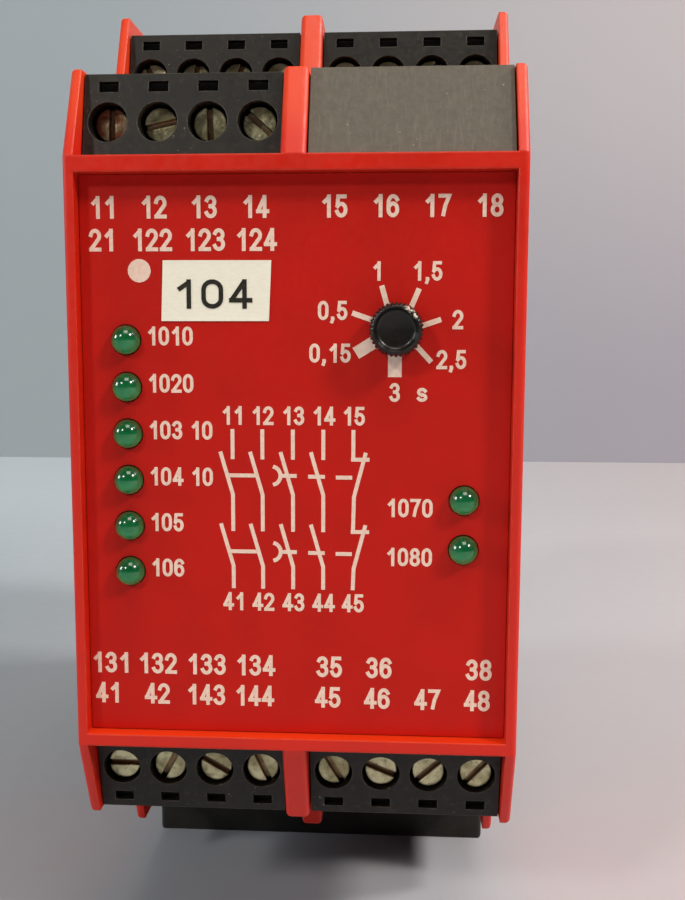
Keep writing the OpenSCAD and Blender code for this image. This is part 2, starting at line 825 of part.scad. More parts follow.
module latch_spring() {
  low = peg_h - peg_low;
  rings = spring_turns * spring_steps;
  n = spring_sides;
  wire = spring_wire / 2;
  rise = (-pocket_high - low - spring_wire) / rings;
  points = [for (k = [0:rings]) for (s = [0:n - 1])
    let (a = 360 * k / spring_steps, b = 360 * s / n, r = spring_r + wire * cos(b))
    [r * cos(a), r * sin(a), low + wire + rise * k + wire * sin(b)]];
  walls = [for (k = [0:rings - 1]) for (s = [0:n - 1])
    let (i = k * n + s, j = k * n + (s + 1) % n)
    each [[i, i + n, j], [j, i + n, j + n]]];
  first = [for (s = [1:n - 2]) [0, s, s + 1]];
  final = [for (s = [1:n - 2]) [rings * n, rings * n + s + 1, rings * n + s]];
  color("#a8a8a8")
    translate([0, hook_y + (pocket_d - fit_gap) / 2, 0])
      polyhedron(points, concat(walls, first, final), convexity = 8);
}

// ---- Boards and what they carry ----

module side_board(side) {
  low = z1 - top_rim - join;
  step = z2 - wall_t - board_step;
  step_y = socket_y + socket_l + board_step;
  upper = [[board_front, low], [step_y, low], [step_y, step], [tier_d + step_y, step],
    [tier_d + step_y, board_top], [seat_y - back_wall - back_clear, board_top]];
  color("#2f6b3a")
  translate([side * (board_in + board_out) / 2, 0, 0])
    across(board_t) polygon(concat(flipped(upper), reverse(upper)));
}

module front_board() {
  color("#2f6b3a")
    block([-front_board_w / 2, front_board_y, -front_board_h / 2],
      [front_board_w / 2, front_board_y + board_t, front_board_h / 2]);
}

module board_links() {
  y = front_board_y + board_t;
  color("#1e1e1e")
    both_sides() block([board_in - link_w, y, -link_h / 2], [board_in, y + link_w, link_h / 2]);
}

// A relay module's base, then its cover with chamfered edges
module relay_module(r) {
  high = relay_t / 2;
  e = relay_edge + relay_inset;
  i = relay_inset;
  color("#d9d6cc")
  translate([r[1] * board_in, relay_y, r[2] * relay_pitch]) mirror([r[1] > 0 ? 1 : 0, 0, 0]) {
    translate([0, 0, -high]) cube([relay_base_h, relay_l, relay_t]);
    translate([relay_base_h, 0, 0]) rotate([0, 90, 0]) linear_extrude(relay_h - relay_base_h)
      polygon([[e - high, i], [high - e, i], [high - i, e], [high - i, relay_l - e],
        [high - e, relay_l - i], [e - high, relay_l - i], [i - high, relay_l - e], [i - high, e]]);
  }
}

// Stack of E and I sheets: two outer legs, a centre leg and a yoke at each end
module transformer_core() {
  color("#6c6a66")
  translate([board_in - coil_over - stack_t, iron_y, -iron_w / 2]) difference() {
    cube([stack_t, iron_l, iron_w]);
    for (z = [leg_w, 4 * leg_w])
      translate([-over, leg_w, z]) cube([stack_t + 2 * over, iron_l - 2 * leg_w, leg_w]);
  }
}

// The winding, a ring around the centre leg
module transformer_coil() {
  l = iron_l - 2 * leg_w - 2 * coil_gap;
  color("#b06a2c")
  translate([board_in, iron_y + leg_w + coil_gap, 0]) difference() {
    block([-stack_t - 2 * coil_over, 0, coil_gap - 2 * leg_w], [0, l, 2 * leg_w - coil_gap]);
    block([-stack_t - coil_over - coil_gap, -over, -leg_w - coil_gap],
      [coil_gap - coil_over, l + over, leg_w + coil_gap]);
  }
}

module capacitor(end) {
  color("#2a3350")
  translate([-board_in, capacitor_y, end * capacitor_z]) rotate([0, 90, 0])
    cylinder(d = capacitor_d, h = capacitor_h);
}

place() front_housing();
place() face_label();
place() paper_tag();
place() base_housing();
place() rail_latch();
place() latch_spring();
place() time_dial();
place() dial_potentiometer();
place() blank_cover();
for (i = [1:LAMPS]) place() lamp(i);
for (p = PLUGS) {
  place() plug(p);
  place() screws(p);
  place() clamps(p);
  place() socket(p);
}
place() socket_pins();
place() side_board(-1);  // left_board
place() side_board(1);  // right_board
place() front_board();
place() board_links();
for (r = RELAYS) place() relay_module(r);
place() transformer_core();
place() transformer_coil();
place() capacitor(1);  // capacitor_1
place() capacitor(-1);  // capacitor_2
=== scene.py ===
import json
import math

import bpy
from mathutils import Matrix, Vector


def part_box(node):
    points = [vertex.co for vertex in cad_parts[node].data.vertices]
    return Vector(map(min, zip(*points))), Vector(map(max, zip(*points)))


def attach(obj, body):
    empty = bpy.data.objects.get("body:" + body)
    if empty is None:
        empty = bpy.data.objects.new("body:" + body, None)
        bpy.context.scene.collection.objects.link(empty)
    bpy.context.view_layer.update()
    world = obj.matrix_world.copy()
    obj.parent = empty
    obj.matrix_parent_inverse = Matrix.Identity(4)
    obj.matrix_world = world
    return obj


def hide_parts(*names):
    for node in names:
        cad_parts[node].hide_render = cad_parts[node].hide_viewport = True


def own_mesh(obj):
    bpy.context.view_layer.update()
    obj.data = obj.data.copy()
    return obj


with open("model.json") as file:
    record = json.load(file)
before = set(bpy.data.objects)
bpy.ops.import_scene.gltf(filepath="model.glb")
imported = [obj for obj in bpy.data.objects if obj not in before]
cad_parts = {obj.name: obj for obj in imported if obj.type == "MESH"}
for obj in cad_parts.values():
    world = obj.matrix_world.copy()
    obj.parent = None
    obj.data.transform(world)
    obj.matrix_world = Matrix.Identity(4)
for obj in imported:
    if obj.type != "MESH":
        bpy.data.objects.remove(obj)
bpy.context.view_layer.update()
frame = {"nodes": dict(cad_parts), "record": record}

# The looks of the safety relay: a procedural finish for each of its pieces, the print on its
# label and tag, and a studio around it with painted light and shade on its floor and wall.
# Lengths on the face are in millimetres from the middle of the front rim, with x to the right
# and z up.

MM = 0.001
HOOD_LOW, HOOD_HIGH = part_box("front_housing")
FACE = Vector((0, HOOD_LOW.y, (HOOD_LOW.z + HOOD_HIGH.z) / 2))
LABEL_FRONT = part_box("face_label")[0].y
DIAL_LOW, DIAL_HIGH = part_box("time_dial")


# ---- Node helpers ----

def tone(red, green, blue):
    """A display colour from 0 to 255 as the linear colour that shaders take."""
    def linear(value):
        value /= 255
        return value / 12.92 if value <= 0.04045 else ((value + 0.055) / 1.055) ** 2.4
    return (linear(red), linear(green), linear(blue), 1)


class Finish:
    """A procedural material. Its textures are laid in the frame's own metres."""

    def __init__(self, name, **sockets):
        self.material = bpy.data.materials.new(name)
        self.material.use_nodes = True
        self.tree = self.material.node_tree
        self.shader = self.tree.nodes["Principled BSDF"]
        self.place = self.tree.nodes.new("ShaderNodeTexCoord").outputs["Object"]
        for socket, value in sockets.items():
            self.shader.inputs[socket.replace("_", " ")].default_value = value

    def node(self, kind, **settings):
        """A new shader node of a kind, with its settings."""
        made = self.tree.nodes.new("ShaderNode" + kind)
        for name, value in settings.items():
            setattr(made, name, value)
        return made

    def feed(self, socket, value):
        """Links a node's output to a socket, or sets the socket to a plain value."""
        if isinstance(value, bpy.types.NodeSocket):
            self.tree.links.new(value, socket)
        else:
            socket.default_value = value

    def use(self, socket, value):
        """Feeds a socket of the shader itself."""
        self.feed(self.shader.inputs[socket], value)
        return self

    def stretched(self, stretch):
        """The place on the surface, scaled along each axis."""
        mapping = self.node("Mapping")
        self.feed(mapping.inputs["Vector"], self.place)
        mapping.inputs["Scale"].default_value = stretch
        return mapping.outputs["Vector"]

    def noise(self, size, detail=3.0, roughness=0.5, stretch=None):
        """Soft noise whose lumps are about size millimetres across."""
        made = self.node("TexNoise")
        self.feed(made.inputs["Vector"], self.stretched(stretch) if stretch else self.place)
        made.inputs["Scale"].default_value = 1 / (size * MM)
        made.inputs["Detail"].default_value = detail
        made.inputs["Roughness"].default_value = roughness
        return made.outputs["Fac"]

    def bands(self, size, direction, distortion=0.0):
        """Straight waves of one size in millimetres along X, Y or Z."""
        made = self.node("TexWave", bands_direction=direction)
        self.feed(made.inputs["Vector"], self.place)
        made.inputs["Scale"].default_value = 0.314 / (size * MM)
        made.inputs["Distortion"].default_value = distortion
        return made.outputs["Fac"]

    def fade(self, value, start, end, low=0.0, high=1.0):
        """Runs from low to high as value runs from start to end, and stays there."""
        made = self.node("MapRange", interpolation_type="SMOOTHSTEP")
        self.feed(made.inputs["Value"], value)
        limits = {"From Min": start, "From Max": end, "To Min": low, "To Max": high}
        for name, number in limits.items():
            made.inputs[name].default_value = number
        return made.outputs["Result"]

    def maths(self, operation, first, second):
        made = self.node("Math", operation=operation)
        self.feed(made.inputs[0], first)
        self.feed(made.inputs[1], second)
        return made.outputs["Value"]

    def mix(self, factor, first, second):
        """A colour between first and second."""
        made = self.node("Mix", data_type="RGBA")
        self.feed(made.inputs["Factor"], factor)
        self.feed(made.inputs["A"], first)
        self.feed(made.inputs["B"], second)
        return made.outputs["Result"]

    def coordinate(self, axis):
        made = self.node("SeparateXYZ")
        self.feed(made.inputs["Vector"], self.place)
        return made.outputs[axis]

    def facing(self, axis):
        """How far the surface faces along X, Y or Z."""
        made = self.node("SeparateXYZ")
        self.feed(made.inputs["Vector"], self.node("NewGeometry").outputs["Normal"])
        return made.outputs[axis]

    def near(self, point, inner, outer):
        """1 within inner millimetres of a point, fading to 0 at outer."""
        made = self.node("VectorMath", operation="DISTANCE")
        self.feed(made.inputs[0], self.place)
        made.inputs[1].default_value = point
        return self.fade(made.outputs["Value"], inner * MM, outer * MM, 1.0, 0.0)

    def open_sky(self, reach):
        """How open the surface is within reach millimetres: 1 on flats and 0 deep in a slot."""
        made = self.node("AmbientOcclusion", samples=8, only_local=True)
        made.inputs["Distance"].default_value = reach * MM
        return made.outputs["AO"]

    def rounded(self, radius):
        """The normal of edges rounded to a radius in millimetres."""
        made = self.node("Bevel", samples=6)
        made.inputs["Radius"].default_value = radius * MM
        return made.outputs["Normal"]

    def edges(self, radius):
        """A mask that is 1 along edges and 0 on flats."""
        made = self.node("VectorMath", operation="DOT_PRODUCT")
        self.feed(made.inputs[0], self.rounded(radius))
        self.feed(made.inputs[1], self.node("NewGeometry").outputs["Normal"])
        return self.fade(made.outputs["Value"], 0.98, 0.86)

    def bump(self, height, depth, normal=None):
        """Raises the surface by up to depth millimetres where height is 1."""
        made = self.node("Bump")
        self.feed(made.inputs["Height"], height)
        made.inputs["Distance"].default_value = depth * MM
        if normal:
            self.feed(made.inputs["Normal"], normal)
        return self.use("Normal", made.outputs["Normal"])


# ---- Finishes ----

# Heights above the middle of the face between which the hood is painted paler, as painted light
# from above, in millimetres
PALE_FROM = 30
PALE_FULL = 36


def hood_red():
    """Red moulded plastic. Painted light from above makes it paler near the top and where it faces
    up, and its edges are lighter, partly from wear and partly as a painted highlight.
    """
    f = Finish("hood_red", Specular_IOR_Level=0.4, Coat_Weight=0.08, Coat_Roughness=0.2)
    cloudy = f.mix(f.fade(f.noise(9), 0.35, 0.65), tone(214, 32, 6), tone(206, 30, 5))
    # Painted light from above: the top of the hood and the faces that look up are painted paler.
    near_top = f.fade(f.coordinate("Z"), FACE.z + PALE_FROM * MM, FACE.z + PALE_FULL * MM, 0, 0.7)
    painted_top_light = f.maths("MAXIMUM", near_top, f.fade(f.facing("Z"), 0.25, 0.8, 0.0, 0.5))
    top_lit_red = f.mix(painted_top_light, cloudy, tone(228, 66, 14))
    # The edges are painted lighter: partly wear, partly a painted highlight where the rounded
    # edges catch the light.
    lightened = f.maths("MULTIPLY", f.edges(0.25), f.fade(f.noise(1.6, detail=5), 0.45, 0.7, 0.2, 0.6))
    f.use("Base Color", f.mix(lightened, top_lit_red, tone(246, 100, 58)))
    f.use("Roughness", f.fade(f.noise(0.7, detail=5), 0.3, 0.7, 0.34, 0.48))
    return f.bump(f.noise(0.22), 0.004, f.rounded(0.32))


def label_red():
    """Printed film, smoother than the hood around it."""
    f = Finish("label_red", Specular_IOR_Level=0.25)
    cloudy = f.mix(f.fade(f.noise(6, detail=5), 0.3, 0.7), tone(196, 20, 5), tone(188, 19, 5))
    f.use("Base Color", f.mix(f.fade(f.noise(0.5), 0.62, 0.75, 0, 0.25), cloudy, tone(172, 20, 8)))
    f.use("Roughness", f.fade(f.noise(0.35), 0.3, 0.7, 0.42, 0.52))
    return f.bump(f.noise(0.14, detail=2), 0.003)


def tag_paper():
    """White paper whose fibres run across the tag."""
    f = Finish("tag_paper", Specular_IOR_Level=0.25)
    fibres = f.noise(0.5, detail=6, roughness=0.65, stretch=(1, 1, 2.5))
    f.use("Base Color", f.mix(f.fade(fibres, 0.35, 0.7), tone(250, 245, 226), tone(245, 239, 220)))
    f.use("Roughness", f.fade(fibres, 0.3, 0.7, 0.62, 0.75))
    return f.bump(fibres, 0.003, f.rounded(0.03))


def black_plastic(name, plain, light, dust):
    """Moulded black plastic, lighter along its edges, partly from handling and partly as a painted
    highlight, with pale dust in specks.
    """
    f = Finish(name, Specular_IOR_Level=0.35)
    cloudy = f.mix(f.fade(f.noise(2.4, detail=5), 0.35, 0.7), plain, light)
    lightened = f.fade(f.noise(0.8, detail=5), 0.35, 0.7, 0.15, 0.7)
    # Lighter edges: partly rubbed by handling, partly a painted highlight where the bevelled edges
    # catch the light.
    lighter_edges = f.mix(f.maths("MULTIPLY", f.edges(0.2), lightened), cloudy, tone(104, 97, 84))
    specks = f.fade(f.noise(0.28, detail=2), 0.68, 0.76)
    resting = f.maths("MULTIPLY", specks, f.fade(f.noise(1.9), 0.45, 0.65, 0.0, dust))
    film = f.fade(f.noise(0.9, detail=6, roughness=0.7), 0.52, 0.72, 0.0, dust * 0.25)
    dusty = f.mix(film, lighter_edges, tone(104, 88, 70))
    f.use("Base Color", f.mix(resting, dusty, tone(160, 150, 132)))
    f.use("Roughness", f.fade(f.noise(0.6, detail=4), 0.3, 0.7, 0.4, 0.58))
    return f.bump(f.noise(0.16), 0.006, f.rounded(0.1))


def cover_grey():
    """Matt grey plastic with faint upright streaks and dust."""
    f = Finish("cover_grey", Specular_IOR_Level=0.2)
    cloudy = f.mix(f.fade(f.noise(0.8, detail=6, roughness=0.7), 0.3, 0.75), tone(104, 97, 87),
                   tone(94, 88, 79))
    streaks = f.fade(f.noise(1.2, detail=5, stretch=(4, 1, 0.5)), 0.5, 0.72, 0, 0.3)
    lightened = f.mix(streaks, cloudy, tone(124, 116, 104))
    specks = f.fade(f.noise(0.35, detail=2), 0.72, 0.78, 0, 0.6)
    f.use("Base Color", f.mix(specks, lightened, tone(176, 166, 148)))
    f.use("Roughness", f.fade(f.noise(0.5), 0.3, 0.7, 0.58, 0.74))
    return f.bump(f.noise(0.25, detail=5), 0.01, f.rounded(0.14))


# The chipped spot on the dial, also a painted highlight: its place as a share of the dial's width
# and height, and how far the chips reach around it in millimetres
CHIPS_AND_HIGHLIGHT_AT = (0.78, 0.83)
CHIPS_AND_HIGHLIGHT_REACH = (0.5, 0.95)


def dial_black():
    """Glossy black plastic, rubbed on its edges, with white chips at one spot of its bevel that
    also serve as a painted highlight there.
    """
    f = Finish("dial_black", Specular_IOR_Level=0.3, Coat_Weight=0.35, Coat_Roughness=0.2)
    lightened = f.maths("MULTIPLY", f.edges(0.1), f.fade(f.noise(0.5), 0.5, 0.65, 0.0, 0.5))
    across, up = [DIAL_LOW.lerp(DIAL_HIGH, share) for share in CHIPS_AND_HIGHLIGHT_AT]
    spot = f.near((across.x, DIAL_LOW.y, up.z), *CHIPS_AND_HIGHLIGHT_REACH)
    # White chips painted at the bevel's upper right, which also stand in for the highlight there.
    chips_and_highlight = f.maths("MULTIPLY", spot, f.fade(f.noise(0.4), 0.48, 0.56))
    lighter_edges = f.mix(lightened, tone(22, 17, 14), tone(92, 82, 70))
    f.use("Base Color", f.mix(chips_and_highlight, lighter_edges, tone(214, 200, 178)))
    f.use("Roughness", f.fade(f.noise(0.4), 0.3, 0.7, 0.3, 0.45))
    return f.bump(f.noise(0.12), 0.002, f.rounded(0.05))


def lamp_green():
    """Tinted clear plastic: the light that enters from above shows in the lower half."""
    f = Finish("lamp_green", Coat_Weight=0.55, Coat_Roughness=0.05)
    lit = f.mix(f.fade(f.facing("Z"), -0.75, 0.45), tone(36, 160, 90), tone(3, 74, 38))
    f.use("Base Color", f.mix(f.fade(f.noise(1.0), 0.35, 0.65, 0.0, 0.4), lit, tone(10, 104, 54)))
    f.use("Roughness", f.fade(f.noise(0.5), 0.3, 0.7, 0.14, 0.22))
    return f.bump(f.noise(0.7, detail=1), 0.002)


# How far the brown stain of the first screw reaches from its middle, and how far the painted shade
# in the slots looks for open sky, in millimetres
STAIN_REACH = (2.4, 3.6)
SLOT_REACH = 1.2


def screw_zinc():
    """Dull zinc plating with patches of grime and painted shade in the slots. The first screw is
    stained brown.
    """
    f = Finish("screw_zinc", Metallic=0.85)
    dull = f.noise(2.2, detail=2)
    plated = f.mix(f.fade(dull, 0.36, 0.64), tone(216, 209, 168), tone(158, 150, 112))
    grimy = f.mix(f.fade(f.noise(0.5, detail=5), 0.5, 0.8, 0, 0.7), plated, tone(92, 78, 56))
    first_low, first_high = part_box("screws_top_front_left")
    first = (first_low.x, first_low.y, (first_low.z + first_high.z) / 2)
    brown = f.maths("MULTIPLY", f.near(first, *STAIN_REACH), f.fade(dull, 0.35, 0.6, 0.3, 0.95))
    stained = f.mix(brown, grimy, tone(132, 66, 44))
    # Painted shade: the slots are darkened towards brown where little open sky reaches them.
    painted_slot_shade = f.fade(f.open_sky(SLOT_REACH), 0.95, 0.6, 0.0, 0.85)
    f.use("Base Color", f.mix(painted_slot_shade, stained, tone(150, 118, 88)))
    f.use("Roughness", f.fade(f.noise(0.5, detail=5), 0.3, 0.7, 0.28, 0.44))
    return f.bump(f.noise(1.2, detail=2), 0.16, f.rounded(0.2))


def bright_metal(name, light, dark, roughness, grain):
    """A plated or rolled metal with a fine grain of a size in millimetres."""
    f = Finish(name, Metallic=1.0)
    f.use("Base Color", f.mix(f.fade(f.noise(1.5, detail=5), 0.3, 0.7), light, dark))
    f.use("Roughness", f.fade(f.noise(grain), 0.3, 0.7, roughness - 0.06, roughness + 0.08))
    return f.bump(f.noise(grain, stretch=(0.3, 1, 2)), 0.006, f.rounded(0.08))


def board_green():
    """A circuit board's green resist over tracks that run between its pins."""
    f = Finish("board_green", Specular_IOR_Level=0.5)
    tracks = f.maths("MULTIPLY", f.fade(f.bands(2.54, "Y"), 0.7, 0.8),
                     f.fade(f.noise(5, stretch=(1, 0.3, 1)), 0.5, 0.53))
    resist = f.mix(f.fade(f.noise(3), 0.3, 0.7), tone(38, 96, 56), tone(30, 84, 50))
    f.use("Base Color", f.mix(tracks, resist, tone(70, 130, 76)))
    f.use("Roughness", f.fade(f.noise(0.6), 0.3, 0.7, 0.25, 0.38))
    return f.bump(tracks, 0.03, f.rounded(0.08))


def moulded(name, light, dark, roughness):
    """A plain moulded plastic of an inner part."""
    f = Finish(name, Specular_IOR_Level=0.4)
    f.use("Base Color", f.mix(f.fade(f.noise(2.5, detail=4), 0.3, 0.7), light, dark))
    f.use("Roughness", f.fade(f.noise(0.5), 0.3, 0.7, roughness, roughness + 0.12))
    return f.bump(f.noise(0.2), 0.005, f.rounded(0.12))


def sheet_steel():
    """The transformer's core of stacked steel sheets."""
    f = Finish("sheet_steel", Metallic=0.8)
    sheets = f.bands(0.5, "X")
    f.use("Base Color", f.mix(f.fade(sheets, 0.2, 0.8), tone(70, 68, 66), tone(132, 128, 124)))
    f.use("Roughness", f.fade(f.noise(0.8), 0.3, 0.7, 0.4, 0.56))
    return f.bump(sheets, 0.05)


def copper_wire():
    """Varnished copper wire in even turns."""
    f = Finish("copper_wire", Metallic=0.85, Coat_Weight=0.4, Coat_Roughness=0.15)
    turns = f.bands(0.3, "Y", distortion=0.4)
    f.use("Base Color", f.mix(f.fade(turns, 0.1, 0.7), tone(96, 44, 22), tone(196, 112, 62)))
    f.use("Roughness", f.fade(f.noise(0.9), 0.3, 0.7, 0.24, 0.36))
    return f.bump(turns, 0.08)


def print_cream():
    """The cream ink of the label's print."""
    f = Finish("print_cream", Specular_IOR_Level=0.3)
    uneven = f.fade(f.noise(0.35), 0.35, 0.7)
    f.use("Base Color", f.mix(uneven, tone(246, 216, 198), tone(236, 202, 182)))
    f.use("Roughness", f.fade(f.noise(0.3), 0.3, 0.7, 0.5, 0.62))
    return f.bump(f.noise(0.12), 0.003)


def ink_black():
    """The ink of the number on the tag."""
    f = Finish("ink_black", Specular_IOR_Level=0.3)
    f.use("Base Color", f.mix(f.fade(f.noise(0.25), 0.4, 0.7), tone(30, 28, 22), tone(48, 44, 34)))
    f.use("Roughness", f.fade(f.noise(0.3), 0.3, 0.7, 0.5, 0.65))
    return f.bump(f.noise(0.1), 0.003)


FINISHES = {
    "hood_red": hood_red(),
    "label_red": label_red(),
    "tag_paper": tag_paper(),
    "base_black": black_plastic("base_black", tone(36, 33, 29), tone(44, 40, 36), 0.25),
    "plug_black": black_plastic("plug_black", tone(21, 19, 15), tone(28, 25, 20), 0.6),
    "cover_grey": cover_grey(),
    "dial_black": dial_black(),
    "lamp_green": lamp_green(),
    "screw_zinc": screw_zinc(),
    "clamp_nickel": bright_metal("clamp_nickel", tone(198, 194, 182), tone(168, 164, 150),
                                 0.32, 0.3),
    "pin_brass": bright_metal("pin_brass", tone(206, 172, 92), tone(180, 146, 74), 0.26, 0.3),
    "board_green": board_green(),
    "pot_blue": moulded("pot_blue", tone(48, 92, 158), tone(40, 80, 142), 0.35),
    "relay_white": moulded("relay_white", tone(226, 222, 210), tone(214, 209, 196), 0.4),
    "sheet_steel": sheet_steel(),
    "copper_wire": copper_wire(),
    "can_blue": moulded("can_blue", tone(38, 48, 86), tone(30, 38, 70), 0.22),
    "spring_steel": bright_metal("spring_steel", tone(188, 188, 186), tone(156, 156, 156),
                                 0.24, 0.2),
}
PRINT_CREAM = print_cream()
INK_BLACK = ink_black()


def dress(piece, finish):
    """Gives a piece one finish."""
    piece.data.materials.clear()
    piece.data.materials.append(finish.material)


def mesh_piece(name, points, faces, finish, smooth=False):
    """A new mesh object with one finish."""
    mesh = bpy.data.meshes.new(name)
    mesh.from_pydata(points, [], faces)
    if smooth:
        mesh.shade_smooth()
    made = bpy.data.objects.new(name, mesh)
    bpy.context.scene.collection.objects.link(made)
    dress(made, finish)
    return made


def thicken(piece, thickness, offset):
    """Makes a flat piece a thickness in millimetres: on both sides at offset 0, behind at -1."""
    added = piece.modifiers.new("thickness", "SOLIDIFY")
    added.thickness = thickness * MM
    added.offset = offset


def grid_faces(rows, columns, closed=False):
    """The faces between rows of points. Closed rows join their last column to their first."""
    faces = []
    for k in range(rows - 1):
        for i in range(columns if closed else columns - 1):
            far = (i + 1) % columns
            faces.append([k * columns + i, k * columns + far,
                          (k + 1) * columns + far, (k + 1) * columns + i])
    return faces


def tube_faces(rings, sides):
    """The faces of a tube through rings of points, with a cap at each end."""
    first, last = range(sides), range((rings - 1) * sides, rings * sides)
    return grid_faces(rings, sides, closed=True) + [list(reversed(first)), list(last)]


for part in frame["record"]["subparts"]:
    dress(frame["nodes"][part["node"]], FINISHES[part["material_slot"]])


# ---- Print ----

# Thickness of the ink, width of the lines of the diagram and heights of the numbers
INK_THICKNESS = 0.02
STROKE = 0.39
SMALL_CAP = 1.88
TERMINAL_CAP = 2.2
# Widths of a digit, of its stroke and of the gap after it, as shares of its height
DIGIT_WIDTH = 0.56
DIGIT_STROKE = 0.172
DIGIT_GAP = 0.075
# Marks that cross each other lie this far apart, in a repeating order
LAYER = 0.001
LAYERS = 16
# Degrees between the points of an arc, and how near two points are that count as one
ARC_STEP = 20
SAME_PLACE = 1e-4


def arc(middle, size, start, end):
    """Points along part of an oval, from one angle to another in degrees."""
    steps = max(2, round(abs(end - start) / ARC_STEP))
    turns = [math.radians(start + (end - start) * i / steps) for i in range(steps + 1)]
    return [(middle[0] + size[0] * math.cos(a), middle[1] + size[1] * math.sin(a)) for a in turns]


# The middle lines of the strokes of each sign, in a box one unit wide and high
DIGITS = {
    "0": [arc((0.5, 0.68), (0.5, 0.32), 0, 180) + arc((0.5, 0.32), (0.5, 0.32), 180, 360)
          + [(1, 0.68)]],
    "1": [[(0.74, 0), (0.74, 1)], [(0.24, 0.73), (0.7, 0.95)]],
    "2": [arc((0.5, 0.72), (0.5, 0.28), 170, -30) + [(0.1, 0.06)], [(0, 0), (1, 0)]],
    "3": [arc((0.5, 0.765), (0.45, 0.235), 160, -90), arc((0.5, 0.265), (0.5, 0.265), 90, -160)],
    "4": [[(0.76, 0), (0.76, 1)], [(0.7, 0.96), (0.06, 0.3)], [(0, 0.25), (1.08, 0.25)]],
    "5": [[(0.9, 1), (0.16, 1), (0.08, 0.56)], arc((0.5, 0.31), (0.5, 0.31), 143, -160)],
    "6": [arc((0.5, 0.31), (0.5, 0.31), 0, 360),
          [(0, 0.33)] + arc((0.52, 0.66), (0.52, 0.34), 180, 30)],
    "7": [[(0, 1), (1, 1), (0.56, 0.5), (0.36, 0.04)]],
    "8": [arc((0.5, 0.765), (0.44, 0.235), 0, 360), arc((0.5, 0.265), (0.5, 0.265), 0, 360)],
    "9": [arc((0.5, 0.69), (0.5, 0.31), 0, 360),
          [(1, 0.67)] + arc((0.48, 0.34), (0.52, 0.34), 0, -150)],
    "s": [arc((0.5, 0.53), (0.46, 0.17), 25, 270) + arc((0.5, 0.19), (0.5, 0.17), 90, -155)],
    ",": [[(0.5, 0.02), (0.5, -0.02)], [(0.6, -0.05), (0.2, -0.2)]],
    " ": [],
}
COMMA_WIDTH = 0.28
# How far a digit's strokes reach past their ends, as a share of their width, and the least
# width of a mitre as a share of its stroke's
DIGIT_REACH = 0.5
LEAST_MITRE = 0.6


class Print:
    """Flat marks on the label or the tag that become one piece."""

    def __init__(self, surface):
        """Starts a print whose ink lies on a surface that faces the front at this y."""
        self.front = surface - INK_THICKNESS / 2 * MM
        self.points = []
        self.faces = []
        self.count = 0

    def flat(self, corners, faces):
        """Adds faces by their corners, in millimetres on the face."""
        start = len(self.points)
        y = self.front - (self.count % LAYERS) * LAYER * MM
        self.count += 1
        self.points += [(FACE.x + x * MM, y, FACE.z + z * MM) for x, z in corners]
        self.faces += [[start + i for i in face] for face in faces]

    def path(self, points, width=STROKE, reach=0.0):
        """A stroke along straight lines, mitred where it bends. It closes where it meets itself,
        and otherwise its ends reach out by a share of its width."""
        points = [Vector(p) for p in points]
        closed = (points[0] - points[-1]).length < SAME_PLACE
        if closed:
            points.pop()
        else:
            points[0] += (points[0] - points[1]).normalized() * reach * width
            points[-1] += (points[-1] - points[-2]).normalized() * reach * width
        n = len(points)
        left, right = [], []
        for i, point in enumerate(points):
            before = (point - points[i - 1]).normalized() if i or closed else None
            after = (points[(i + 1) % n] - point).normalized() if i < n - 1 or closed else None
            along = ((before or after) + (after or before)).normalized()
            side = along.orthogonal() * (width / 2 / max(LEAST_MITRE, along.dot(after or before)))
            left.append(point + side)
            right.append(point - side)
        pairs = [(i, (i + 1) % n) for i in range(n if closed else n - 1)]
        self.flat(left + right, [[n + i, n + k, k, i] for i, k in pairs])

    def number(self, text, x, z, cap, align=0.5, width=DIGIT_WIDTH, gap=DIGIT_GAP, stroke=0.0):
        """Digits whose baseline is at z, with x at their left (0), middle (0.5) or right (1)."""
        stroke = stroke or DIGIT_STROKE * cap
        widths = [cap * (COMMA_WIDTH if c in ", " else width) for c in text]
        left = x - align * (sum(widths) + cap * gap * (len(text) - 1))
        for c, across in zip(text, widths):
            for line in DIGITS[c]:
                placed = [(left + stroke / 2 + px * (across - stroke),
                           z + stroke / 2 + pz * (cap - stroke)) for px, pz in line]
                self.path(placed, stroke, DIGIT_REACH)
            left += across + cap * gap

    def disc(self, x, z, radius):
        """A round mark."""
        edge = arc((x, z), (radius, radius), 0, 350)
        self.flat(edge, [list(range(len(edge)))])

    def piece(self, name, finish):
        """Gives the marks their thickness and makes them ride on the housing."""
        made = mesh_piece(name, self.points, self.faces, finish)
        thicken(made, INK_THICKNESS, offset=0)
        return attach(made, "housing")


# Height of each row of terminal numbers, with the number and its place across the face
TERMINAL_ROWS = [
    (23.8, {"11": -18.95, "12": -13.9, "13": -8.93, "14": -3.84,
            "15": 3.86, "16": 8.87, "17": 13.86, "18": 18.88}),
    (20.64, {"21": -19.09, "122": -14.11, "123": -8.85, "124": -3.8}),
    (-22.37, {"131": -19.17, "132": -14.3, "133": -9.2, "134": -4.14,
              "35": 3.48, "36": 8.55, "38": 18.68}),
    (-25.6, {"41": -19.54, "42": -14.39, "143": -9.3, "144": -4.27,
             "45": 3.34, "46": 8.38, "47": 13.51, "48": 18.55}),
]


def terminal_numbers():
    """The numbers of the terminals, in two rows at each end of the label."""
    marks = Print(LABEL_FRONT)
    for z, row in TERMINAL_ROWS:
        for text, x in row.items():
            marks.number(text, x, z, TERMINAL_CAP)
    return marks.piece("print_terminal_numbers", PRINT_CREAM)


LAMP_NUMBERS = ["1010", "1020", "103 10", "104 10", "105", "106", "1070", "1080"]
# Places of the numbers beside and below the middles of their lamps, on the left and on the right
LAMP_NUMBER_GAP = (2.1, -3.1)
LAMP_NUMBER_DROP = (0.55, 1.75)


